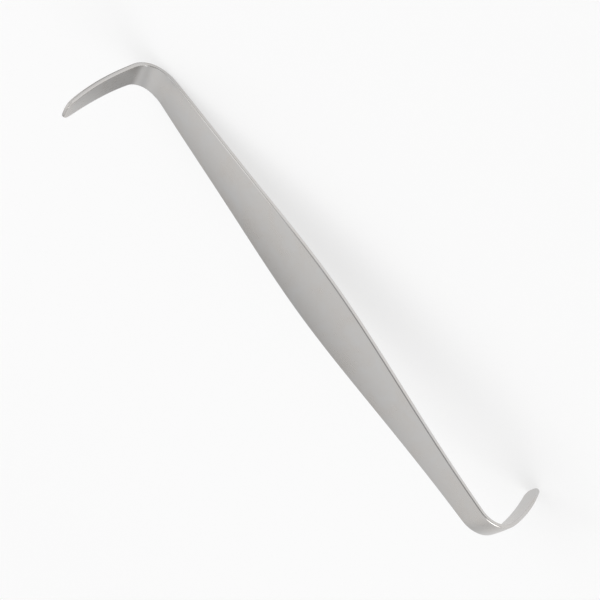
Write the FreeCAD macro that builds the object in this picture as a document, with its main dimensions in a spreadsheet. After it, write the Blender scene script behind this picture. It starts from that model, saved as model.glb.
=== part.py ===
import FreeCAD, Part
import os
from math import asin, cos, hypot, radians, sin, tau

import Sketcher
from FreeCAD import Placement, Rotation, Vector

# A hand-held wound retractor: one flat steel strip, widest in the middle of the handle,
# with a long blade turned up at one end and a short hook turned down at the other end,
# so that the strip makes an S.
#
# Own frame, in mm: X runs along the handle towards the hook, Y across the width of the
# strip, and Z is up. The strip lies as it comes to rest, on the outside of the blade's
# bend and the tip of the hook, with the origin under the middle of its box.

os.makedirs("parts", exist_ok=True)
doc = FreeCAD.newDocument("retractor")

# Sizes, in mm and degrees

sizes = {
    # strip: two crowned faces and flat edges with rounded corners, thinner at the hook
    "edge_thickness": 1.3,
    "hook_neck_thickness": 1.15,
    "hook_root_thickness": 1.0,
    "hook_tip_thickness": 0.9,
    "crown_radius": 60,
    "edge_round": 0.4,
    # handle: straight from bend to bend and widest in the middle
    "handle_length": 150,
    "handle_width": 18.8,
    "waist_blade_side": 15.1,
    "waist_hook_side": 13.6,
    # long blade: an easy bend that tightens, then a blade with a slight sweep
    "blade_neck_width": 10.4,
    "blade_root_width": 8.4,
    "blade_middle_width": 7.9,
    "blade_tip_width": 5.6,
    "ease_radius": 12.7,
    "ease_angle": 26,
    "blade_bend_radius": 6.6,
    "blade_bend_angle": 71.6,
    "blade_length": 28.5,
    "blade_sweep_radius": 113,
    # short hook: one bend the other way, then a curled hook
    "hook_neck_width": 8.5,
    "hook_root_width": 8.1,
    "hook_tip_width": 5.6,
    "hook_bend_radius": 8.9,
    "hook_bend_angle": 81.8,
    "hook_length": 18.6,
    "hook_sweep_radius": 48.6,
    # corner radius at each tip, as a share of half the tip's width
    "tip_round_share": 0.75,
}

# Stations along the middle of the strip: X, Z and how far it has turned there. All three
# are counted outward from the handle, where the blade turns up and the hook turns down.

stations = {
    "half_length": "handle_length / 2",
    "quarter_length": "handle_length / 4",
    "blade_root_turn": "ease_angle + blade_bend_angle",
    "blade_sweep_angle": "blade_length / blade_sweep_radius * 180 / pi",
    "blade_middle_turn": "blade_root_turn + blade_sweep_angle / 2",
    "blade_tip_turn": "blade_root_turn + blade_sweep_angle",
    "blade_root_x": "-half_length - ease_radius * sin(ease_angle * 1deg) - blade_bend_radius"
                    " * (sin(blade_root_turn * 1deg) - sin(ease_angle * 1deg))",
    "blade_root_z": "ease_radius * (1 - cos(ease_angle * 1deg)) + blade_bend_radius"
                    " * (cos(ease_angle * 1deg) - cos(blade_root_turn * 1deg))",
    "blade_middle_x": "blade_root_x - blade_sweep_radius"
                      " * (sin(blade_middle_turn * 1deg) - sin(blade_root_turn * 1deg))",
    "blade_middle_z": "blade_root_z + blade_sweep_radius"
                      " * (cos(blade_root_turn * 1deg) - cos(blade_middle_turn * 1deg))",
    "blade_tip_x": "blade_root_x - blade_sweep_radius"
                   " * (sin(blade_tip_turn * 1deg) - sin(blade_root_turn * 1deg))",
    "blade_tip_z": "blade_root_z + blade_sweep_radius"
                   " * (cos(blade_root_turn * 1deg) - cos(blade_tip_turn * 1deg))",
    "hook_sweep_angle": "hook_length / hook_sweep_radius * 180 / pi",
    "hook_tip_turn": "hook_bend_angle + hook_sweep_angle",
    "hook_root_x": "half_length + hook_bend_radius * sin(hook_bend_angle * 1deg)",
    "hook_root_z": "-hook_bend_radius * (1 - cos(hook_bend_angle * 1deg))",
    "hook_tip_x": "hook_root_x + hook_sweep_radius"
                  " * (sin(hook_tip_turn * 1deg) - sin(hook_bend_angle * 1deg))",
    "hook_tip_z": "hook_root_z - hook_sweep_radius"
                  " * (cos(hook_bend_angle * 1deg) - cos(hook_tip_turn * 1deg))",
    # the floor touches the back of the easy bend and the hook's tip, which sets the slope
    "neck_half_thickness": "edge_thickness / 2 + blade_neck_width ^ 2 / (8 * crown_radius)",
    "tip_drop": "ease_radius - hook_tip_z",
    "tip_reach": "half_length + hook_tip_x",
    "rest_slope": "(atan(tip_drop / tip_reach) - asin((ease_radius + neck_half_thickness)"
                  " / sqrt(tip_drop ^ 2 + tip_reach ^ 2))) / 1deg",
}

sheet = doc.addObject("Spreadsheet::Sheet", "Sizes")
cells = {name: str(number) for name, number in sizes.items()}
cells.update({name: "=" + formula for name, formula in stations.items()})
for row, (name, content) in enumerate(cells.items(), start=1):
    sheet.set("A%d" % row, name)
    sheet.set("B%d" % row, content)
    sheet.setAlias("B%d" % row, name)
doc.recompute()


def value(name):
    """Read a named value as a plain number."""
    return float(sheet.get(name))


# Strip

body = doc.addObject("PartDesign::Body", "retractor_strip")
body.Label = "retractor_strip"
planes = {origin.Role: origin for origin in body.Origin.OriginFeatures}
# how a sketch names the two ends of a line or an arc
START, END = range(1, 3)


def constrain(sketch, kind, *args, bound=None):
    """Add a constraint to a sketch and bind its size to a formula."""
    index = sketch.addConstraint(Sketcher.Constraint(kind, *args))
    if bound:
        sketch.setExpression("Constraints[%d]" % index, bound)


def draw_arcs(sketch, line, line_end, heading, names):
    """Carry the spine on from one end of the handle in arcs that each turn right.

    names holds the radius and the angle of each arc, and each is tangent to the last.
    A sketch's arc runs anticlockwise, so the end nearer the handle is its last one.
    """
    near, near_end = line, line_end
    point = sketch.getPoint(line, line_end)
    for radius_name, angle_name in names:
        radius, turn = value(radius_name), radians(value(angle_name))
        centre = point + Vector(sin(heading), -cos(heading), 0) * radius
        last = heading + tau / 4
        first = last - turn
        arc = sketch.addGeometry(Part.ArcOfCircle(
            Part.Circle(centre, Vector(0, 0, 1), radius), first, last))
        constrain(sketch, "Tangent", near, near_end, arc, END)
        constrain(sketch, "Radius", arc, radius, bound="Sizes." + radius_name)
        constrain(sketch, "Angle", arc, turn, bound="Sizes.%s * 1deg" % angle_name)
        near, near_end = arc, START
        point = centre + Vector(cos(first), sin(first), 0) * radius
        heading -= turn


spine = body.newObject("Sketcher::SketchObject", "spine")
spine.AttachmentSupport = (planes["XZ_Plane"], "")
spine.MapMode = "FlatFace"
half_length = value("half_length")
handle = spine.addGeometry(Part.LineSegment(
    Vector(-half_length, 0, 0), Vector(half_length, 0, 0)))
constrain(spine, "Horizontal", handle)
constrain(spine, "Symmetric", handle, START, handle, END, -1, START)
constrain(spine, "Distance", handle, 2 * half_length, bound="Sizes.handle_length")
draw_arcs(spine, handle, START, tau / 2, (
    ("ease_radius", "ease_angle"),
    ("blade_bend_radius", "blade_bend_angle"),
    ("blade_sweep_radius", "blade_sweep_angle")))
draw_arcs(spine, handle, END, 0, (
    ("hook_bend_radius", "hook_bend_angle"),
    ("hook_sweep_radius", "hook_sweep_angle")))


def section_sketch(name, width_name, thickness_name, x="0", z="0", turn="0"):
    """Draw the strip's section across the spine: flat edges and two crowned faces."""
    sketch = body.newObject("Sketcher::SketchObject", name)
    sketch.AttachmentSupport = (planes["YZ_Plane"], "")
    sketch.MapMode = "FlatFace"
    sketch.AttachmentOffset = Placement(Vector(), Rotation(Vector(1, 0, 0), 90))
    sketch.setExpression("AttachmentOffset.Base.z", x)
    sketch.setExpression("AttachmentOffset.Base.y", z)
    sketch.setExpression("AttachmentOffset.Rotation.Angle", turn)
    t, w = value(thickness_name) / 2, value(width_name) / 2
    crown = value("crown_radius")
    spread = asin(w / crown)
    reach = crown * cos(spread) - t
    right = sketch.addGeometry(Part.LineSegment(Vector(w, -t, 0), Vector(w, t, 0)))
    front = sketch.addGeometry(Part.ArcOfCircle(
        Part.Circle(Vector(0, -reach, 0), Vector(0, 0, 1), crown),
        tau / 4 - spread, tau / 4 + spread))
    left = sketch.addGeometry(Part.LineSegment(Vector(-w, t, 0), Vector(-w, -t, 0)))
    back = sketch.addGeometry(Part.ArcOfCircle(
        Part.Circle(Vector(0, reach, 0), Vector(0, 0, 1), crown),
        -tau / 4 - spread, -tau / 4 + spread))
    for near, far in ((right, front), (front, left), (left, back), (back, right)):
        constrain(sketch, "Coincident", near, END, far, START)
    constrain(sketch, "Vertical", right)
    constrain(sketch, "Symmetric", right, START, left, START, -1, START)
    constrain(sketch, "Symmetric", right, END, left, END, -1, START)
    constrain(sketch, "DistanceY", right, START, right, END, 2 * t,
              bound="Sizes." + thickness_name)
    constrain(sketch, "DistanceX", back, START, back, END, 2 * w,
              bound="Sizes." + width_name)
    constrain(sketch, "Radius", front, crown, bound="Sizes.crown_radius")
    constrain(sketch, "Equal", front, back)
    return sketch


sections = [
    section_sketch("blade_tip", "blade_tip_width", "edge_thickness",
                   "Sizes.blade_tip_x", "Sizes.blade_tip_z", "Sizes.blade_tip_turn"),
    section_sketch("blade_middle", "blade_middle_width", "edge_thickness",
                   "Sizes.blade_middle_x", "Sizes.blade_middle_z",
                   "Sizes.blade_middle_turn"),
    section_sketch("blade_root", "blade_root_width", "edge_thickness",
                   "Sizes.blade_root_x", "Sizes.blade_root_z", "Sizes.blade_root_turn"),
    section_sketch("blade_neck", "blade_neck_width", "edge_thickness",
                   "-Sizes.half_length"),
    section_sketch("waist_a", "waist_blade_side", "edge_thickness",
                   "-Sizes.quarter_length"),
    section_sketch("middle", "handle_width", "edge_thickness"),
    section_sketch("waist_b", "waist_hook_side", "edge_thickness",
                   "Sizes.quarter_length"),
    section_sketch("hook_neck", "hook_neck_width", "hook_neck_thickness",
                   "Sizes.half_length"),
    section_sketch("hook_root", "hook_root_width", "hook_root_thickness",
                   "Sizes.hook_root_x", "Sizes.hook_root_z", "Sizes.hook_bend_angle"),
    section_sketch("hook_tip", "hook_tip_width", "hook_tip_thickness",
                   "Sizes.hook_tip_x", "Sizes.hook_tip_z", "Sizes.hook_tip_turn"),
]
doc.recompute()

strip = body.newObject("PartDesign::AdditivePipe", "strip")
strip.Profile = sections[0]
strip.Spine = (spine, ["Edge%d" % (i + 1) for i in range(len(spine.Shape.Edges))])
strip.Transformation = "Multisection"
strip.Sections = sections[1:]
doc.recompute()


def round_off(name, base, picked, radius_formula):
    """Round those edges of the base feature for which picked(edge) is true."""
    fillet = body.newObject("PartDesign::Fillet", name)
    fillet.Base = (base, ["Edge%d" % (i + 1) for i, edge in enumerate(base.Shape.Edges)
                          if picked(edge)])
    fillet.setExpression("Radius", radius_formula)
    doc.recompute()
    return fillet


def at_corner_of(tip, thickness_name):
    """Pick the short edges across the strip's thickness at the corners of one tip."""
    x, z = value(tip + "_x"), value(tip + "_z")
    thickness = value(thickness_name)

    def picked(edge):
        middle = edge.CenterOfMass
        return (edge.Length < 1.01 * thickness
                and hypot(middle.x - x, middle.z - z) < thickness / 2)
    return picked


def is_sharp_in(shape):
    """Pick the edges where two faces of the shape meet at a corner, not smoothly."""
    def picked(edge):
        middle = edge.valueAt((edge.FirstParameter + edge.LastParameter) / 2)
        one, other = (face.normalAt(*face.Surface.parameter(middle))
                      for face in shape.ancestorsOfType(edge, Part.Face))
        return one.getAngle(other) > tau / 12
    return picked


blade_end = round_off("blade_end", strip, at_corner_of("blade_tip", "edge_thickness"),
                      "Sizes.blade_tip_width / 2 * Sizes.tip_round_share")
hook_end = round_off("hook_end", blade_end, at_corner_of("hook_tip", "hook_tip_thickness"),
                     "Sizes.hook_tip_width / 2 * Sizes.tip_round_share")
soft_edges = round_off("soft_edges", hook_end, is_sharp_in(hook_end.Shape),
                       "Sizes.edge_round")

# Rest: the handle slopes up to the hook, which stands on its tip

body.Placement = Placement(Vector(), Rotation(Vector(0, 1, 0), -1))
body.setExpression("Placement.Rotation.Angle", "-Sizes.rest_slope")
doc.recompute()
box = body.Shape.optimalBoundingBox(False, False)
at_rest = body.Placement
at_rest.Base = Vector(-box.Center.x, -box.Center.y, -box.ZMin)
body.Placement = at_rest
doc.recompute()

# Checks and export

for item in doc.Objects:
    if {"Invalid", "Error"} & set(item.State):
        raise RuntimeError("%s: %s" % (item.Name, item.getStatusString()))
if body.Shape.isNull() or not body.Shape.isValid():
    raise RuntimeError("the strip isn't a valid solid")
body.Shape.exportStep("parts/%s.step" % body.Label)
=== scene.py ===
"""A hand-held wound retractor in satin steel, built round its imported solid.

The strip is one closed surface worked out with numpy: its section is carried along
the spine, and stands in from the plan outline all round, so that the edges and the
round tips are soft. Sizes are in mm, in the part's own frame, and meshes in metres.
"""
from __future__ import annotations

import logging
from dataclasses import dataclass, field, replace
from enum import Enum
from functools import reduce
from math import asin, atan2, cos, hypot, pi, radians, sin
from typing import Any

import bmesh
import bpy
import numpy as np
from mathutils import Matrix, Vector

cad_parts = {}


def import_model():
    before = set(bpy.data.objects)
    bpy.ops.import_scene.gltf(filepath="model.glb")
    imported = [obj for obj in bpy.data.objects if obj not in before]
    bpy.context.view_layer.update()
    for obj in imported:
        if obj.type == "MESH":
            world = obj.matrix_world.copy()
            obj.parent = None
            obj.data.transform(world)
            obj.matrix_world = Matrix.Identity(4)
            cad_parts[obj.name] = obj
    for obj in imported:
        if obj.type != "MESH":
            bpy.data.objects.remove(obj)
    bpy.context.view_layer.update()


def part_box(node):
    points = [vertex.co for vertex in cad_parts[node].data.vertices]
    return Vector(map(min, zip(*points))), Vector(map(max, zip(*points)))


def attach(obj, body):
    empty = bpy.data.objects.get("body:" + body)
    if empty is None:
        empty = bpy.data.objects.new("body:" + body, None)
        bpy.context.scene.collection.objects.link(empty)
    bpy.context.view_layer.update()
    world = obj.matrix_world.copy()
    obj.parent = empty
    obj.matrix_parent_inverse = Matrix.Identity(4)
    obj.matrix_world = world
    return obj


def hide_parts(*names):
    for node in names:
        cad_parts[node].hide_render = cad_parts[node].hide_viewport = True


LOG = logging.getLogger("retractor")
MM = 0.001
NODE = "retractor_strip"
BODY = "root"

Array = np.ndarray
Socket = bpy.types.NodeSocket
Point = tuple[float, float, float]


class Turn(Enum):
    """Which way a stretch of the spine turns, seen with X to the right and Z up."""

    LEFT = 1.0
    STRAIGHT = 0.0
    RIGHT = -1.0


class Ray(Enum):
    """The kinds of ray that the floor and the backdrop tell apart."""

    CAMERA = "Is Camera Ray"
    GLOSSY = "Is Glossy Ray"


class Mixed(Enum):
    """What a Mix node mixes: its data type, and the numbers of its inputs and output."""

    NUMBER = ("FLOAT", 2, 3, 0)
    COLOUR = ("RGBA", 6, 7, 2)


@dataclass(frozen=True)
class Ramp:
    """A number that goes from low to high while what drives it goes from start to end.

    It is held at both ends. Between them it eases in and out, or goes evenly where
    smooth is off.
    """

    start: float
    end: float
    low: float = 0.0
    high: float = 1.0
    smooth: bool = True

    def in_metres(self) -> Ramp:
        """Give the ramp for a driver in metres, where its start and end are in mm."""
        return replace(self, start=self.start * MM, end=self.end * MM)


class Graph:
    """A material's or a world's node tree, with a short way to add and join nodes."""

    def __init__(self, tree: bpy.types.NodeTree) -> None:
        """Start from an empty tree.

        Args:
            tree: the node tree to fill.
        """
        self.tree = tree
        tree.nodes.clear()

    def add(self, kind: str, inputs: dict[Any, Any] | None = None,
            **settings: Any) -> bpy.types.Node:
        """Add one node, set its options, and set or link its inputs.

        Args:
            kind: the node's type name, without its ShaderNode prefix.
            inputs: socket name or number to a value, or to a socket to link from.
            settings: the node's own options.

        Returns:
            The new node.
        """
        node = self.tree.nodes.new("ShaderNode" + kind)
        for name, option in settings.items():
            setattr(node, name, option)
        for name, given in (inputs or {}).items():
            if isinstance(given, bpy.types.NodeSocket):
                self.tree.links.new(given, node.inputs[name])
            else:
                node.inputs[name].default_value = given
        return node

    def math(self, operation: str, *values: Any) -> Socket:
        """Add a Math node.

        Args:
            operation: the node's operation, such as MULTIPLY.
            values: numbers or sockets, in order.

        Returns:
            The result's socket.
        """
        return self.add("Math", dict(enumerate(values)), operation=operation).outputs[0]

    def product(self, *values: Any) -> Socket:
        """Multiply numbers and sockets together, from the first one on."""
        return reduce(lambda one, other: self.math("MULTIPLY", one, other), values)

    def total(self, *values: Any) -> Socket:
        """Add numbers and sockets up, from the first one on."""
        return reduce(lambda one, other: self.math("ADD", one, other), values)

    def ramp(self, driver: Any, ramp: Ramp) -> Socket:
        """Carry a number along a ramp.

        Args:
            driver: the socket of the number that drives the ramp.
            ramp: where it starts and ends, and its values there.

        Returns:
            The result's socket.
        """
        kind = "SMOOTHSTEP" if ramp.smooth else "LINEAR"
        return self.add("MapRange", {
            "Value": driver, "From Min": ramp.start, "From Max": ramp.end,
            "To Min": ramp.low, "To Max": ramp.high,
        }, interpolation_type=kind).outputs["Result"]

    def mix(self, kind: Mixed, share: Any, one: Any, other: Any) -> Socket:
        """Mix two numbers or two colours.

        Args:
            kind: which of the two they are.
            share: 0 for all of one, 1 for all of the other.
            one: the first number or colour, or its socket.
            other: the second, or its socket.

        Returns:
            The mix's socket.
        """
        data_type, first, second, result = kind.value
        return self.add("Mix", {0: share, first: one, second: other},
                        data_type=data_type).outputs[result]


def grey(level: float, warmth: float = 0.0) -> tuple[float, float, float, float]:
    """Give a grey as a colour, a little warmer in red and cooler in blue.

    Args:
        level: the grey's brightness, from 0 to 1.
        warmth: how far red goes up and blue goes down, as a share of the level.

    Returns:
        Red, green, blue and alpha.
    """
    return (level * (1 + warmth), level, level * (1 - warmth), 1.0)


@dataclass(frozen=True)
class Noise:
    """One noise pattern."""

    scale: float
    detail: float
    roughness: float = 0.5
    distortion: float = 0.0
    dimensions: str = "3D"

    def on(self, graph: Graph, place: Socket) -> Socket:
        """Add the pattern to a material.

        Args:
            graph: the material's nodes.
            place: the socket of the coordinates it is read at.

        Returns:
            The pattern's level, from 0 to 1.
        """
        return graph.add("TexNoise", {
            "Vector": place, "Scale": self.scale, "Detail": self.detail,
            "Roughness": self.roughness, "Distortion": self.distortion,
        }, noise_dimensions=self.dimensions).outputs["Fac"]


@dataclass(frozen=True)
class SatinSteel:
    """Stainless steel, ground fine along the strip and then matt-finished."""

    slot: str = "steel"
    uv_name: str = "along_the_strip"
    wear_name: str = "edge_wear"
    tone: float = 0.56
    mottle: float = 0.035
    warmth_of_dark: float = 0.04
    warmth_of_light: float = 0.01
    roughness: float = 0.31
    edge_roughness: float = 0.25
    rougher_by_clouds: float = 0.03
    rougher_by_grain: float = 0.03
    rougher_by_speckle: float = 0.015
    anisotropy: float = 0.35
    grain_width: float = 0.11
    grain_length: float = 9.0
    grain_depth: float = 0.0006
    grain_strength: float = 0.25
    grain: Noise = Noise(1.0, 3.0, 0.6, dimensions="2D")
    clouds: Noise = Noise(140.0, 4.0, 0.55, 0.4)
    speckle: Noise = Noise(900.0, 2.0)
    noise_span: Ramp = Ramp(0.3, 0.7, smooth=False)

    def material(self) -> bpy.types.Material:
        """Make the steel's material.

        Grain is noise drawn out along the strip on its own UV map, in mm. Slow clouds of
        noise shift the tone. They, the grain and a fine speckle shift the roughness, and
        the worn edges are smoother.

        Returns:
            The material.
        """
        made = bpy.data.materials.new("satin_steel")
        made.use_nodes = True
        graph = Graph(made.node_tree)
        unrolled = graph.add("UVMap", uv_map=self.uv_name).outputs["UV"]
        wear = graph.add("Attribute", attribute_name=self.wear_name).outputs["Fac"]
        place = graph.add("TexCoord").outputs["Object"]
        drawn_out = graph.add("Mapping", {
            "Vector": unrolled,
            "Scale": (1 / self.grain_length, 1 / self.grain_width, 1.0)}).outputs[0]
        grain = self.grain.on(graph, drawn_out)
        clouds = self.clouds.on(graph, place)
        speckle = self.speckle.on(graph, place)

        def swing(noise: Socket, by: float) -> Socket:
            """Turn a noise into a number that swings each way by as much."""
            return graph.ramp(noise, replace(self.noise_span, low=-by, high=by))

        tint = graph.mix(
            Mixed.COLOUR, graph.ramp(clouds, self.noise_span),
            grey(self.tone - self.mottle / 2, self.warmth_of_dark),
            grey(self.tone + self.mottle / 2, self.warmth_of_light))
        rough = graph.total(
            self.roughness, swing(clouds, self.rougher_by_clouds),
            swing(grain, self.rougher_by_grain), swing(speckle, self.rougher_by_speckle),
            graph.product(wear, self.edge_roughness - self.roughness))
        bump = graph.add("Bump", {
            "Strength": self.grain_strength, "Distance": self.grain_depth * MM,
            "Height": grain})
        tangent = graph.add("Tangent", direction_type="UV_MAP", uv_map=self.uv_name)
        shader = graph.add("BsdfPrincipled", {
            "Base Color": tint, "Metallic": 1.0, "Roughness": rough,
            "Anisotropic": self.anisotropy, "Tangent": tangent.outputs[0],
            "Normal": bump.outputs[0]})
        graph.add("OutputMaterial", {"Surface": shader.outputs[0]})
        return made


@dataclass(frozen=True)
class Stretch:
    """One arc or straight run of the spine."""

    length: float
    radius: float = 1.0
    turn: Turn = Turn.STRAIGHT

    @property
    def curvature(self) -> float:
        """How fast it turns left, in radians per mm."""
        return self.turn.value / self.radius


@dataclass
class Spine:
    """The line through the middle of the strip, in the plane of X and Z."""

    stretches: list[Stretch]
    middle: float

    def at(self, along: Array) -> tuple[Array, Array, Array]:
        """Find points of the spine and its heading there.

        Over a stretch of curvature k that starts at heading h, the heading after d is
        h + k d, and the point moves by (sin(h + k d) - sin h) / k along X and by
        (cos h - cos(h + k d)) / k along Z, or by d along h where k is 0. The heading is
        0 and the point is the origin at the handle's middle.

        Args:
            along: distances from the start of the first stretch.

        Returns:
            X, Z and the heading in radians, each as long as along.
        """
        lengths = np.array([s.length for s in self.stretches])
        bends = np.array([s.curvature for s in self.stretches])
        starts = np.concatenate([[0.0], np.cumsum(lengths)])
        headings = np.concatenate([[0.0], np.cumsum(lengths * bends)])

        def moved(number: Array, distance: Array) -> tuple[Array, Array]:
            """Give the way moved after a distance along numbered stretches."""
            k, h = bends[number], headings[number]
            curve = np.where(k == 0, 1.0, k)
            x = np.where(k == 0, distance * np.cos(h),
                         (np.sin(h + k * distance) - np.sin(h)) / curve)
            z = np.where(k == 0, distance * np.sin(h),
                         (np.cos(h) - np.cos(h + k * distance)) / curve)
            return x, z

        steps = moved(np.arange(len(lengths)), lengths)
        knots = [np.concatenate([[0.0], np.cumsum(step)]) for step in steps]

        def place(distance: Array) -> tuple[Array, Array, Array]:
            """Give the point and heading before the spine is turned to the handle."""
            number = np.clip(np.searchsorted(starts, distance, side="right") - 1,
                             0, len(lengths) - 1)
            rest = distance - starts[number]
            x, z = moved(number, rest)
            return (knots[0][number] + x, knots[1][number] + z,
                    headings[number] + bends[number] * rest)

        x, z, heading = place(np.asarray(along, float))
        middle_x, middle_z, middle_heading = (float(v[0]) for v in place(np.array([self.middle])))
        back = -middle_heading
        x, z = x - middle_x, z - middle_z
        return (x * cos(back) - z * sin(back), x * sin(back) + z * cos(back), heading + back)


def smooth_through(knots: Array, values: Array, at: Array) -> Array:
    """Draw a cubic spline through points, with no break in its third slope at the ends.

    On each span it is the cubic with second slopes m at its ends. The m make the first
    slopes meet at each inner knot, and the third slopes at the first and the last one.

    Args:
        knots: where the points are, rising.
        values: the points' heights.
        at: where to read the spline.

    Returns:
        The spline's heights.
    """
    span = np.diff(knots)
    rise = np.diff(values) / span
    count = len(knots)
    system = np.zeros((count, count))
    inner = np.arange(1, count - 1)
    system[inner, inner - 1] = span[:-1]
    system[inner, inner] = 2 * (span[:-1] + span[1:])
    system[inner, inner + 1] = span[1:]
    system[0, :3] = span[1], -(span[0] + span[1]), span[0]
    system[-1, -3:] = span[-1], -(span[-2] + span[-1]), span[-2]
    second = np.linalg.solve(system, np.concatenate([[0.0], 6 * np.diff(rise), [0.0]]))
    i = np.clip(np.searchsorted(knots, at, side="right") - 1, 0, count - 2)
    before, after, h = at - knots[i], knots[i + 1] - at, span[i]
    return ((second[i] * after ** 3 + second[i + 1] * before ** 3) / (6 * h)
            + (values[i] / h - second[i] * h / 6) * after
            + (values[i + 1] / h - second[i + 1] * h / 6) * before)


@dataclass
class RetractorStrip:
    """The whole instrument: handle, long blade and short hook in one bent strip."""

    finish: SatinSteel = field(default_factory=SatinSteel)
    edge_thickness: float = 1.3
    blade_end_thickness: float = 0.72
    blade_end_reach: float = 4.0
    hook_neck_thickness: float = 1.15
    hook_root_thickness: float = 1.0
    hook_tip_thickness: float = 0.9
    crown_radius: float = 60.0
    edge_round: float = 0.4
    handle_length: float = 150.0
    handle_width: float = 18.8
    waist_blade_side: float = 15.1
    waist_hook_side: float = 13.6
    blade_neck_width: float = 10.4
    blade_root_width: float = 8.4
    blade_middle_width: float = 7.9
    blade_tip_width: float = 5.6
    ease_radius: float = 12.7
    ease_angle: float = 26.0
    blade_bend_radius: float = 6.6
    blade_bend_angle: float = 71.6
    blade_length: float = 28.5
    blade_sweep_radius: float = 113.0
    hook_neck_width: float = 8.5
    hook_root_width: float = 8.1
    hook_tip_width: float = 5.6
    hook_bend_radius: float = 8.9
    hook_bend_angle: float = 81.8
    hook_length: float = 18.6
    hook_sweep_radius: float = 48.6
    tip_round_share: float = 0.75
    steps_along: int = 640
    steps_round_a_tip: int = 40
    steps_across: int = 28
    steps_round_a_corner: int = 6
    join_within: float = 1e-4
    drop_under: float = 1e-5

    def __post_init__(self) -> None:
        """Lay out the spine and the places along it."""
        stretches = [
            Stretch(self.blade_length, self.blade_sweep_radius, Turn.LEFT),
            Stretch(self.blade_bend_radius * radians(self.blade_bend_angle),
                    self.blade_bend_radius, Turn.LEFT),
            Stretch(self.ease_radius * radians(self.ease_angle), self.ease_radius, Turn.LEFT),
            Stretch(self.handle_length),
            Stretch(self.hook_bend_radius * radians(self.hook_bend_angle),
                    self.hook_bend_radius, Turn.RIGHT),
            Stretch(self.hook_length, self.hook_sweep_radius, Turn.RIGHT),
        ]
        ends = np.cumsum([s.length for s in stretches])
        self.blade_neck, self.hook_neck, self.hook_root, self.length = (
            float(ends[i]) for i in (2, 3, 4, 5))
        self.middle = (self.blade_neck + self.hook_neck) / 2
        self.spine = Spine(stretches, self.middle)

    @property
    def rest_slope(self) -> float:
        """How far the handle slopes up to the hook, in radians.

        The floor touches the back of the easy bend, a circle about the handle's end,
        and the middle of the hook's tip, as far below it as the strip's slope gives.
        """
        x, z, _ = self.spine.at(np.array([self.length]))
        drop = self.ease_radius - float(z[0])
        reach = self.handle_length / 2 + float(x[0])
        neck = self.edge_thickness / 2 + self.blade_neck_width ** 2 / (8 * self.crown_radius)
        return atan2(drop, reach) - asin((self.ease_radius + neck) / hypot(drop, reach))

    @property
    def stations(self) -> Array:
        """Where along the strip its width and thickness are set."""
        quarter = self.handle_length / 4
        return np.array([
            0.0, self.blade_length / 2, self.blade_length, self.blade_neck,
            self.middle - quarter, self.middle, self.middle + quarter,
            self.hook_neck, self.hook_root, self.length])

    def half_width(self, along: Array) -> Array:
        """Give half the strip's width before its tips are rounded."""
        widths = np.array([
            self.blade_tip_width, self.blade_middle_width, self.blade_root_width,
            self.blade_neck_width, self.waist_blade_side, self.handle_width,
            self.waist_hook_side, self.hook_neck_width, self.hook_root_width,
            self.hook_tip_width])
        return smooth_through(self.stations, widths, along) / 2

    def half_thickness(self, along: Array) -> Array:
        """Give half the thickness of the strip's edge.

        It thins along the hook, and over the reach e before the blade's end by the
        square of how near the end is: (1 - s / e)² of what the end is thinner by.
        """
        stations = self.stations
        thin = np.array([
            self.hook_neck_thickness, self.hook_root_thickness, self.hook_tip_thickness])
        even = np.full(len(stations) - len(thin), self.edge_thickness)
        near_end = np.clip(1 - along / self.blade_end_reach, 0, None) ** 2
        thinner = (self.edge_thickness - self.blade_end_thickness) * near_end
        return (smooth_through(stations, np.concatenate([even, thin]), along) - thinner) / 2

    def tip_corner(self, end: float) -> tuple[Array, Array]:
        """Lay out a tip's outline, from the middle of its end round to its side.

        The corner is a quarter circle of radius r, tip_round_share of half the tip's
        width, about a point r in from the end: (r - r cos q, half - r + r sin q).

        Args:
            end: where the tip is along the strip, 0 or its length.

        Returns:
            How far each point lies in from the end, and its half-width.
        """
        half = float(self.half_width(np.array([end]))[0])
        corner = half * self.tip_round_share
        turn = np.linspace(0, pi / 2, self.steps_round_a_tip)
        inwards = np.concatenate([[0.0], corner * (1 - np.cos(turn))])
        wide = np.concatenate([[0.0], half - corner + corner * np.sin(turn)])
        return inwards, wide

    def outline(self) -> tuple[Array, Array, Array, Array]:
        """Work out the plan outline of one side, from the blade's tip to the hook's.

        It is the half-width along the strip, cut by each tip's corner. Its outward
        normal is its slope turned a quarter.

        Returns:
            Distance along, half-width, and the normal's parts along and across.
        """
        blade_in, blade_wide = self.tip_corner(0.0)
        hook_in, hook_wide = self.tip_corner(self.length)
        sides = np.linspace(blade_in[-1], self.length - hook_in[-1], self.steps_along)[1:-1]
        along = np.concatenate([blade_in, sides, (self.length - hook_in)[::-1]])
        plain = self.half_width(along)
        wide = np.concatenate([
            blade_wide * plain[:len(blade_in)] / blade_wide[-1],
            plain[len(blade_in):-len(hook_in)],
            (hook_wide * plain[-len(hook_in):][::-1] / hook_wide[-1])[::-1]])
        slope_along, slope_wide = np.gradient(along), np.gradient(wide)
        steep = np.hypot(slope_along, slope_wide)
        out_along, out_wide = -slope_wide / steep, slope_along / steep
        out_along[0], out_wide[0] = -1.0, 0.0
        out_along[-1], out_wide[-1] = 1.0, 0.0
        return along, wide, out_along, out_wide

    def crown(self, along: Array, across: Array) -> Array:
        """Give half the strip's thickness at a place of its plan.

        Each face is an arc of radius R over the half-width a, half the edge's thickness
        t high at its sides: t / 2 + sqrt(R² - w²) - sqrt(R² - a²).
        """
        half = self.half_width(along)
        radius = self.crown_radius
        return (self.half_thickness(along) + np.sqrt(radius ** 2 - across ** 2)
                - np.sqrt(radius ** 2 - half ** 2))

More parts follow.
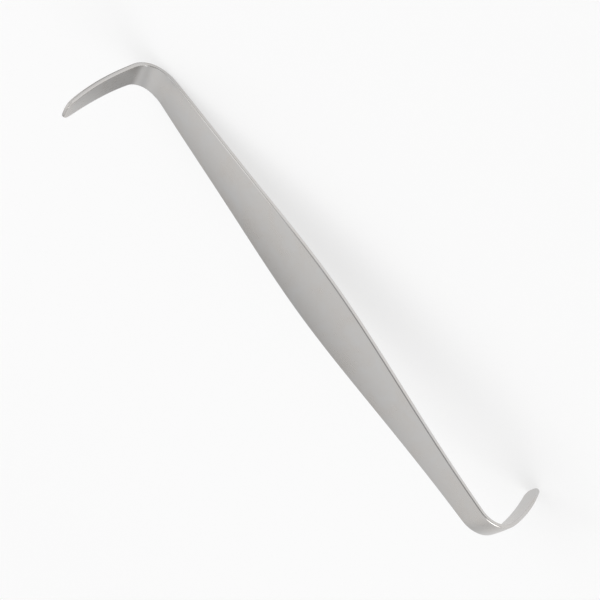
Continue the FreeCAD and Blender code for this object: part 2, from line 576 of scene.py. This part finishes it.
    def section(self) -> tuple[Array, Array, Array, Array, Array]:
        """Work out the closed section at every step of the outline, in the flat strip.

        One quarter of it runs from the middle of the front face to the middle of the
        edge. The face ends r (1 - sin b) inside the outline, where b is the crown's
        tilt, and the corner is the arc of radius r from b to a quarter turn about a
        point r inside the outline. The rest mirrors that quarter across the width and
        through the thickness.

        Returns:
            Along, across, up, the unrolled way round and the edge's wear, each one row
            to a step and one column to a point of the section.
        """
        along, wide, out_along, out_wide = (v[:, None] for v in self.outline())
        r = self.edge_round
        tilt = np.arcsin((wide - r * out_wide) / self.crown_radius) * out_wide
        turn = tilt + (pi / 2 - tilt) * np.linspace(0, 1, self.steps_round_a_corner)[None, :]
        centre_along, centre_wide = along - r * out_along, wide - r * out_wide
        corner_along = centre_along + r * np.sin(turn) * out_along
        corner_wide = centre_wide + r * np.sin(turn) * out_wide
        rim = self.crown(corner_along[:, :1], corner_wide[:, :1])
        corner_up = rim + r * (np.cos(turn) - np.cos(tilt))
        share = np.sin(np.linspace(0, pi / 2, self.steps_across // 2 + 1))[None, :-1]
        face_wide = corner_wide[:, :1] * share
        face_along = np.broadcast_to(corner_along[:, :1], face_wide.shape)
        face_up = self.crown(face_along, face_wide)

        along = np.hstack([face_along, corner_along])
        across = np.hstack([face_wide, corner_wide])
        up = np.hstack([face_up, corner_up])
        wear = np.hstack([np.zeros_like(face_wide),
                          np.broadcast_to(np.sin(np.linspace(0, pi, turn.shape[1])), turn.shape)])
        far = np.hypot(np.diff(across, axis=1), np.diff(up, axis=1))
        far = np.hstack([np.zeros_like(wide), np.cumsum(far, axis=1)])
        round_a_half = 2 * far[:, -1:] + 2 * up[:, -1:]

        def loop(quarter: Array, across_sign: float, up_sign: float) -> Array:
            """Carry one quarter on through the other three, once round the strip."""
            return np.hstack([quarter, up_sign * quarter[:, ::-1],
                              across_sign * up_sign * quarter[:, 1:],
                              across_sign * quarter[:, ::-1]])

        unrolled = np.hstack([far, round_a_half - far[:, ::-1],
                              round_a_half + far[:, 1:], 2 * round_a_half - far[:, ::-1]])
        return (loop(along, 1, 1), loop(across, -1, 1), loop(up, 1, -1), unrolled,
                loop(wear, 1, 1))

    def build(self, lowest: Vector, highest: Vector) -> bpy.types.Object:
        """Make the strip's mesh where the solid lies.

        A point of the flat strip at (s, w, h) goes to the spine's point at s, w across
        the width, and h along the spine's normal (-sin heading, cos heading). Then the
        strip is sloped as it rests and set over the middle of the solid's box.

        Args:
            lowest: the lowest corner of the solid's box, in metres.
            highest: its highest corner, in metres.

        Returns:
            The strip's object.
        """
        along, across, up, unrolled, wear = self.section()
        x, z, heading = self.spine.at(along)
        x, z = x - up * np.sin(heading), z + up * np.cos(heading)
        slope = self.rest_slope
        points = np.stack([x * cos(slope) - z * sin(slope), across,
                           x * sin(slope) + z * cos(slope)], axis=-1) * MM
        flat = points.reshape(-1, 3)
        low, high = flat.min(axis=0), flat.max(axis=0)
        shift = (np.array(lowest) + np.array(highest) - low - high) / 2
        shift[2] = lowest[2] - low[2]
        flat = flat + shift

        rows, columns = across.shape
        number = np.arange(rows * columns).reshape(rows, columns)
        here, ahead = number[:-1], number[1:]
        faces = np.stack([here[:, :-1], here[:, 1:], ahead[:, 1:], ahead[:, :-1]], axis=-1)
        mesh = bpy.data.meshes.new("satin_strip")
        mesh.from_pydata(flat, [], faces.reshape(-1, 4))
        corner = np.empty(len(mesh.loops), np.int32)
        mesh.loops.foreach_get("vertex_index", corner)
        uv = np.stack([along.ravel(), unrolled.ravel()], axis=-1)[corner]
        mesh.uv_layers.new(name=self.finish.uv_name).uv.foreach_set(
            "vector", uv.astype(np.float32).ravel())
        mesh.attributes.new(self.finish.wear_name, "FLOAT", "POINT").data.foreach_set(
            "value", wear.astype(np.float32).ravel())
        mesh.update()
        return self.closed(mesh)

    def closed(self, mesh: bpy.types.Mesh) -> bpy.types.Object:
        """Join the seam and the two tips, turn the faces outwards and shade them smooth.

        Args:
            mesh: the strip's open grid.

        Returns:
            The strip's object, linked to the scene.
        """
        work = bmesh.new()
        work.from_mesh(mesh)
        bmesh.ops.remove_doubles(work, verts=work.verts, dist=self.join_within * MM)
        bmesh.ops.dissolve_degenerate(work, edges=work.edges, dist=self.drop_under * MM)
        bmesh.ops.recalc_face_normals(work, faces=work.faces)
        for face in work.faces:
            face.smooth = True
        LOG.info("strip: open edges %d", sum(not e.is_manifold for e in work.edges))
        work.to_mesh(mesh)
        work.free()
        strip = bpy.data.objects.new("satin_strip", mesh)
        bpy.context.scene.collection.objects.link(strip)
        return strip

    def dress(self, strip: bpy.types.Object) -> None:
        """Give the strip its steel, and let it stand for the solid."""
        strip.data.materials.append(self.finish.material())
        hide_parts(NODE)
        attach(strip, BODY)


@dataclass(frozen=True)
class PaperFloor:
    """A floor of white paper: it keeps the strip's shadow and stays white to the camera.

    Levels are what the steel mirrors of the paper, where 1 is white. They are painted
    shade and painted light in a glow that only the steel sees.
    """

    size: float = 6000.0
    tone: float = 0.9
    white: float = 0.98
    far_out: Ramp = Ramp(250.0, 800.0, 0.65, 1.0)
    # Painted shade in the paper's glow to the steel, darkest round this place behind the blade.
    painted_shade_centre: Point = (-80.0, -14.0, 0.0)
    painted_shade_round_centre: Ramp = Ramp(4.0, 28.0, 0.48, 0.91, smooth=False)
    # Painted light in the paper's glow to the steel: brighter ahead of the strip, on the camera's
    # side.
    ahead: Ramp = Ramp(0.0, 20.0)
    painted_light_ahead_level: float = 1.08
    # Painted shade in the paper's glow to the steel: a darker band past the blade, mirrored as a
    # grey line on its outer rim.
    painted_rim_shade_way: Point = (-1.0, -0.45, 0.0)
    painted_rim_shade_near: Ramp = Ramp(84.0, 96.0)
    painted_rim_shade_far: Ramp = Ramp(108.0, 134.0, 1.0, 0.0)
    painted_rim_shade_side: Ramp = Ramp(-12.0, -4.0)
    painted_rim_shade_level: float = 0.45

    def level(self, graph: Graph, place: Socket) -> Socket:
        """Work out how bright the steel sees the paper.

        It is darkest behind the bottom of the blade, a painted shade that stands in for
        the strip's shadow on the paper, and brightest ahead of the strip, on the camera's
        side, a painted light. Past the blade, painted shade gives the blade's outer rim its
        grey line.

        Args:
            graph: the paper's nodes.
            place: the socket of the place on the paper, in metres.

        Returns:
            The level's socket.
        """
        # Painted shade: the glow the steel sees grows darker near the place behind the blade.
        painted_shade_centre = tuple(part * MM for part in self.painted_shade_centre)
        from_painted_shade_centre = graph.add("VectorMath", {0: place, 1: painted_shade_centre},
                              operation="DISTANCE").outputs["Value"]
        along_y = graph.add("SeparateXYZ", {0: place}).outputs[1]
        beyond = graph.add("VectorMath", {0: place, 1: self.painted_rim_shade_way},
                           operation="DOT_PRODUCT").outputs["Value"]
        # Painted shade behind the blade and painted light ahead of the strip, in the glow the
        # steel sees.
        painted_shade_and_light = graph.mix(
            Mixed.NUMBER, graph.ramp(along_y, self.ahead.in_metres()),
            graph.ramp(from_painted_shade_centre, self.painted_shade_round_centre.in_metres()), self.painted_light_ahead_level)
        # Painted shade past the blade, which the blade's outer rim mirrors as a grey line.
        painted_rim_shade = graph.product(
            graph.ramp(beyond, self.painted_rim_shade_near.in_metres()),
            graph.ramp(beyond, self.painted_rim_shade_far.in_metres()),
            graph.ramp(along_y, self.painted_rim_shade_side.in_metres()))
        return graph.mix(Mixed.NUMBER, painted_rim_shade, painted_shade_and_light, self.painted_rim_shade_level)

    def material(self) -> bpy.types.Material:
        """Make the paper's material.

        The camera sees mostly a plain white, with a share of matt paper that holds the
        shadow and fades out far from the strip. The steel sees the paper's glow at its
        painted levels, with painted shade and painted light.

        Returns:
            The material.
        """
        made = bpy.data.materials.new("white_paper")
        made.use_nodes = True
        graph = Graph(made.node_tree)
        rays = graph.add("LightPath").outputs
        mirrored = rays[Ray.GLOSSY.value]
        place = graph.add("NewGeometry").outputs["Position"]
        # Glossy rays see the glow at its painted levels of shade and light. The camera sees plain
        # white.
        strength = graph.mix(Mixed.NUMBER, mirrored, self.white, self.level(graph, place))
        away = graph.add("VectorMath", {0: place}, operation="LENGTH").outputs["Value"]
        plain = graph.ramp(away, self.far_out.in_metres())
        share = graph.math("MAXIMUM", mirrored, graph.product(rays[Ray.CAMERA.value], plain))
        paper = graph.add("BsdfDiffuse", {"Color": grey(self.tone)})
        glow = graph.add("Emission", {"Color": grey(1.0), "Strength": strength})
        shader = graph.add("MixShader", {
            0: share, 1: paper.outputs[0], 2: glow.outputs[0]})
        graph.add("OutputMaterial", {"Surface": shader.outputs[0]})
        return made

    def lay(self) -> bpy.types.Object:
        """Make the floor under the strip, at the height where it rests."""
        mesh = bpy.data.meshes.new("floor")
        half = self.size * MM / 2
        square = np.array([[-1, -1, 0], [1, -1, 0], [1, 1, 0], [-1, 1, 0]]) * half
        mesh.from_pydata(square, [], [(0, 1, 2, 3)])
        mesh.materials.append(self.material())
        floor = bpy.data.objects.new("floor", mesh)
        bpy.context.scene.collection.objects.link(floor)
        return floor


@dataclass(frozen=True)
class Card:
    """A small bright card that only the steel shows."""

    name: str
    place: Point
    aim: Point
    wide: float
    high: float
    level: float

    @property
    def power(self) -> float:
        """Give its watts: a flat lamp of area a looks as bright as l at pi a l."""
        return pi * self.wide * MM * self.high * MM * self.level


@dataclass(frozen=True)
class SoftRoom:
    """Soft light all round, with a softbox and a small card at each end of the strip.

    Levels are what the steel mirrors of the room, where 1 is white. They are read along
    a direction's own parts: x to the hook's side, y to the camera's side and z up.
    """

    white: float = 0.98
    wall: Ramp = Ramp(0.1, 0.66, 0.38, 0.92, smooth=False)
    middle_left: Ramp = Ramp(-0.41, -0.28)
    middle_right: Ramp = Ramp(-0.1, 0.0, 1.0, 0.0)
    middle_top: Ramp = Ramp(0.64, 0.84, 1.0, 0.0)
    middle_share: Ramp = Ramp(0.0, 1.0, 1.0, 0.88, smooth=False)
    blade_side_share: Ramp = Ramp(-0.48, -0.34, 1.08, 1.0)
    gap_front: Ramp = Ramp(-0.3, 0.1)
    gap_end: Ramp = Ramp(-0.5, -0.25)
    gap_level: float = 0.42
    hook_side: Ramp = Ramp(0.35, 0.62)
    hook_side_top: Ramp = Ramp(0.2, 0.4, 1.0, 0.0)
    hook_side_level: float = 0.82
    softbox_power: float = 6.0
    softbox_size: tuple[float, float] = (1200.0, 1000.0)
    softbox_place: Point = (1000.0, -100.0, 620.0)
    cards: tuple[Card, ...] = (
        Card("card_by_the_hook", (144.0, 10.0, 78.0), (82.0, 4.0, 25.0), 64.0, 62.0, 3.2),
        Card("card_by_the_blade", (-81.5, 18.0, 57.0), (-80.0, 0.0, 36.0), 60.0, 60.0, 0.5))

    def level(self, graph: Graph) -> Socket:
        """Work out how bright the steel sees the room along a direction.

        The wall grows brighter upwards. It is a little dimmer opposite the handle's
        middle and brighter opposite its blade side, dim in a gap on the camera's side,
        and even low down on the hook's side.

        Args:
            graph: the room's nodes.

        Returns:
            The level's socket.
        """
        x, y, z = graph.add("SeparateXYZ", {
            0: graph.add("TexCoord").outputs["Generated"]}).outputs
        middle = graph.product(
            graph.ramp(x, self.middle_left), graph.ramp(x, self.middle_right),
            graph.ramp(z, self.middle_top))
        wall = graph.product(
            graph.ramp(z, self.wall), graph.ramp(middle, self.middle_share),
            graph.ramp(x, self.blade_side_share))
        gap = graph.product(graph.ramp(y, self.gap_front), graph.ramp(x, self.gap_end))
        side = graph.product(graph.ramp(x, self.hook_side), graph.ramp(z, self.hook_side_top))
        return graph.mix(Mixed.NUMBER, side, graph.mix(Mixed.NUMBER, gap, wall, self.gap_level),
                         self.hook_side_level)

    def surround(self) -> None:
        """Make the world: the camera sees it plain white, and the steel at its levels."""
        world = bpy.data.worlds.new("soft_room")
        bpy.context.scene.world = world
        world.use_nodes = True
        graph = Graph(world.node_tree)
        seen = graph.add("LightPath").outputs[Ray.CAMERA.value]
        room = graph.add("Background", {"Color": grey(1.0), "Strength": self.level(graph)})
        white = graph.add("Background", {"Color": grey(self.white), "Strength": 1.0})
        back = graph.add("MixShader", {0: seen, 1: room.outputs[0], 2: white.outputs[0]})
        graph.add("OutputWorld", {"Surface": back.outputs[0]})

    def hang(self, name: str, place: Point, aim: Point, size: tuple[float, float],
             power: float) -> bpy.types.Object:
        """Hang one flat lamp, turned to what it lights.

        Args:
            name: the lamp's name.
            place: where its middle is, in mm.
            aim: what it faces, in mm.
            size: its width and height, in mm.
            power: its power in watts.

        Returns:
            The lamp's object, out of the camera's sight.
        """
        lamp = bpy.data.lights.new(name, "AREA")
        lamp.shape, lamp.energy = "RECTANGLE", power
        lamp.size, lamp.size_y = (side * MM for side in size)
        hung = bpy.data.objects.new(name, lamp)
        bpy.context.scene.collection.objects.link(hung)
        hung.visible_camera = False
        hung.location = Vector(place) * MM
        hung.rotation_mode = "QUATERNION"
        hung.rotation_quaternion = (Vector(place) - Vector(aim)).to_track_quat("Z", "Y")
        return hung

    def hang_softboxes(self) -> None:
        """Hang a softbox at each end of the strip; the steel shows only the room."""
        aside, back, up = self.softbox_place
        for name, side in (("softbox_blade_side", -aside), ("softbox_hook_side", aside)):
            box = self.hang(name, (side, back, up), (0.0, 0.0, 0.0), self.softbox_size,
                            self.softbox_power)
            box.visible_glossy = False

    def hang_cards(self) -> None:
        """Hang the cards, which light nothing but their streaks on the steel."""
        for card in self.cards:
            hung = self.hang(card.name, card.place, card.aim, (card.wide, card.high),
                             card.power)
            hung.visible_diffuse = False

    def light(self) -> None:
        """Set the world, the softboxes and the cards."""
        self.surround()
        self.hang_softboxes()
        self.hang_cards()


@dataclass(frozen=True)
class Camera:
    """The camera, where it shows the strip as the photograph does."""

    aim: Point = (-2.53, -5.75, 12.79)
    distance: float = 229.94
    azimuth: float = 178.10
    elevation: float = 42.57
    roll: float = -130.99
    lens: float = 47.17
    sensor: float = 36.0
    nearest: float = 0.01
    farthest: float = 20.0

    def place(self) -> None:
        """Set the camera at its angle, and the scene's plain view.

        The camera's back points from the aim at the azimuth and elevation, its right is
        level and then rolled about that line.
        """
        turn, tip = radians(self.azimuth), radians(self.elevation)
        back = Vector((sin(turn) * cos(tip), -cos(turn) * cos(tip), sin(tip)))
        level = Vector((0, 0, 1)).cross(back).normalized()
        above = back.cross(level)
        roll = radians(self.roll)
        right = level * cos(roll) + above * sin(roll)
        data = bpy.data.cameras.new("camera")
        data.sensor_width, data.lens = self.sensor, self.lens
        data.clip_start, data.clip_end = self.nearest, self.farthest
        camera = bpy.data.objects.new("camera", data)
        bpy.context.scene.collection.objects.link(camera)
        place = (Vector(self.aim) + back * self.distance) * MM
        frame = Matrix((right, back.cross(right), back)).transposed().to_4x4()
        camera.matrix_world = Matrix.Translation(place) @ frame
        bpy.context.scene.camera = camera
        bpy.context.scene.view_settings.view_transform = "Standard"


def main() -> None:
    """Build the strip and its studio."""
    logging.basicConfig(level=logging.INFO, format="%(name)s: %(message)s")
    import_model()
    retractor = RetractorStrip()
    strip = retractor.build(*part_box(NODE))
    retractor.dress(strip)
    LOG.info("strip: %d faces", len(strip.data.polygons))
    PaperFloor().lay()
    SoftRoom().light()
    Camera().place()
    LOG.info("studio: floor, light and camera")


if __name__ == "__main__":
    main()
